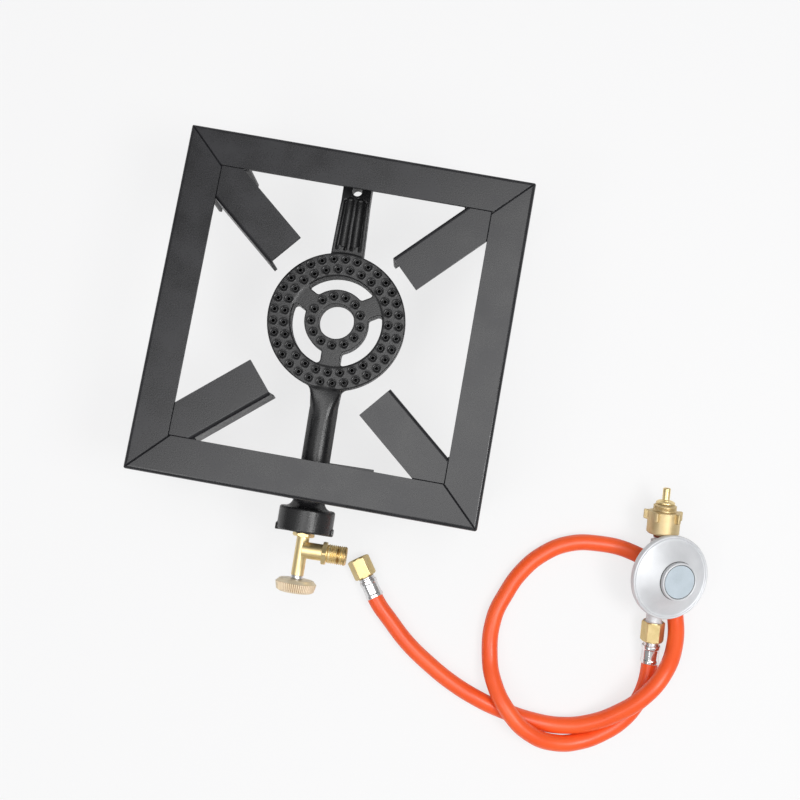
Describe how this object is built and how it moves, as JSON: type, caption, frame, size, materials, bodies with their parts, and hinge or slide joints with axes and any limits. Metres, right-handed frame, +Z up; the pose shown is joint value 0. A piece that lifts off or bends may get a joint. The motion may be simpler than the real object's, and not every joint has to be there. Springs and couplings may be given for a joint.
{
  "type": "gas burner stand",
  "caption": "Square angle-iron stand with a cast-iron ring burner, brass control valve, orange hose and pressure regulator.",
  "frame": {"origin": "centre of the stand's box on the floor, without the hose set", "axes": "+Z up, +X to the right, +Y away from the valve"},
  "size_m": [0.524, 0.4943, 0.14],
  "materials": {
    "frame_paint": "satin black paint over angle iron",
    "cast_iron": "black painted casting, satin with glossy highlights",
    "brass": "machined brass",
    "knob_brass": "knurled brass",
    "hand_nut_brass": "cast brass, matt",
    "zinc_steel": "zinc plated",
    "crimp_steel": "bright crimped sleeve",
    "die_cast": "silver painted die casting",
    "badge_plastic": "plain pale foil",
    "hose_rubber": "orange hose with a soft sheen",
    "black_rubber": "nitrile rubber",
    "fibre": "pressed fibre"
  },
  "bodies": {
    "root": {"rail_front": "frame_paint", "rail_right": "frame_paint", "rail_back": "frame_paint", "rail_left": "frame_paint", "leg_back_right": "frame_paint", "leg_back_left": "frame_paint", "leg_front_left": "frame_paint", "leg_front_right": "frame_paint", "arm_back_right": "frame_paint", "arm_back_left": "frame_paint", "arm_front_left": "frame_paint", "arm_front_right": "frame_paint", "tube_strap": "frame_paint", "rear_bracket": "frame_paint", "rear_bolt": "zinc_steel", "rear_washer": "zinc_steel", "burner_casting": "cast_iron", "valve_locknut": "brass", "gas_jet": "brass", "valve_body": "brass", "gland_ring": "zinc_steel", "burner_end_tail": "zinc_steel", "burner_end_ferrule": "crimp_steel", "hose": "hose_rubber", "outlet_end_ferrule": "crimp_steel", "outlet_end_tail": "zinc_steel", "outlet_nut": "brass", "regulator_body": "die_cast", "regulator_cover": "die_cast", "badge_disc": "badge_plastic", "diaphragm": "black_rubber", "diaphragm_plate": "zinc_steel", "regulator_spring": "zinc_steel", "spring_cap": "zinc_steel", "valve_lever": "zinc_steel", "lever_pin": "zinc_steel", "valve_pad": "black_rubber", "inlet_nipple": "brass", "inlet_seal": "fibre"},
    "spindle_seal": {"spindle_o_ring": "black_rubber"},
    "spindle": {"valve_spindle": "zinc_steel", "valve_knob": "knob_brass", "knob_screw": "zinc_steel"},
    "burner_nut": {"burner_end_nut": "brass"},
    "hand_nut": {"inlet_hand_nut": "hand_nut_brass"}
  },
  "joints": [
    {"name": "valve_travel", "type": "slide", "parent": "root", "child": "spindle_seal", "axis": [0.0244, -0.9997, 0], "range_m": [0, 0.003]},
    {"name": "valve_turn", "type": "hinge", "parent": "spindle_seal", "child": "spindle", "pos_m": [0.0058, -0.19125, 0.092], "axis": [0.0244, -0.9997, 0], "range_deg": [0, 1081]},
    {"name": "burner_nut_turn", "type": "hinge", "parent": "root", "child": "burner_nut", "pos_m": [0.0515, -0.1603, 0.0096], "axis": [0.5736, -0.8192, 0], "continuous": true},
    {"name": "hand_nut_turn", "type": "hinge", "parent": "root", "child": "hand_nut", "pos_m": [0.32752, -0.08222, 0.03193], "axis": [-0.0946, 0.982, 0.1633], "continuous": true}
  ],
  "couplings": [
    {"joint": "valve_turn", "follows": "valve_travel", "rad_per_m": 6283.2}
  ]
}
